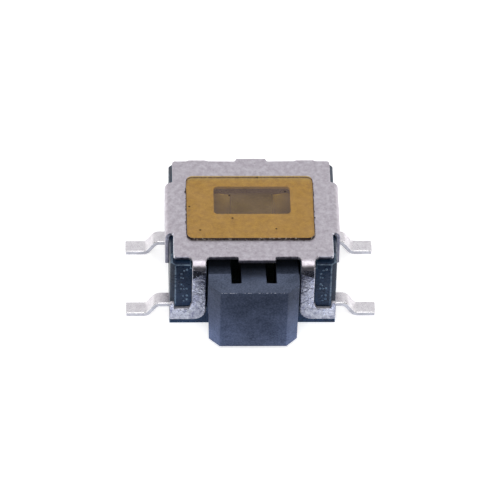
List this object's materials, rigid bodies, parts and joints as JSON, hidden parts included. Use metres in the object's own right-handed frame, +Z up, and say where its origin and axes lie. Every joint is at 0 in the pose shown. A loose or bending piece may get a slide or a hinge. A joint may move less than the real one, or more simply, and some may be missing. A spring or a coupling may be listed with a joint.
{
  "type": "side-push tactile switch",
  "caption": "Surface-mount tactile push button switch, pressed from the side, with a folded metal cover, a sealing film and gull-wing leads.",
  "frame": {"origin": "middle of the housing's underside, on the board", "axes": "+Z up from the board, the button faces -Y and is pressed towards +Y, +X to the right seen from the button's side"},
  "size_m": [0.0091, 0.0066, 0.0033],
  "materials": {
    "housing_plastic": "moulded, satin",
    "button_plastic": "moulded, matt",
    "cover_metal": "rolled sheet, tin plated, dull",
    "terminal_metal": "tin plated",
    "dome_steel": "rolled spring steel",
    "film_polyimide": "smooth tape"
  },
  "bodies": {
    "base": {"housing": "housing_plastic", "terminal_middle": "terminal_metal", "terminal_outer": "terminal_metal", "dome": "dome_steel", "cover": "cover_metal", "film": "film_polyimide"},
    "button": {"button": "button_plastic"}
  },
  "joints": [
    {"name": "button_press", "type": "slide", "parent": "base", "child": "button", "axis": [0, 1, 0], "range_m": [0, 0.00025], "stiffness_N_per_m": 6400, "deforming": ["dome"]}
  ]
}
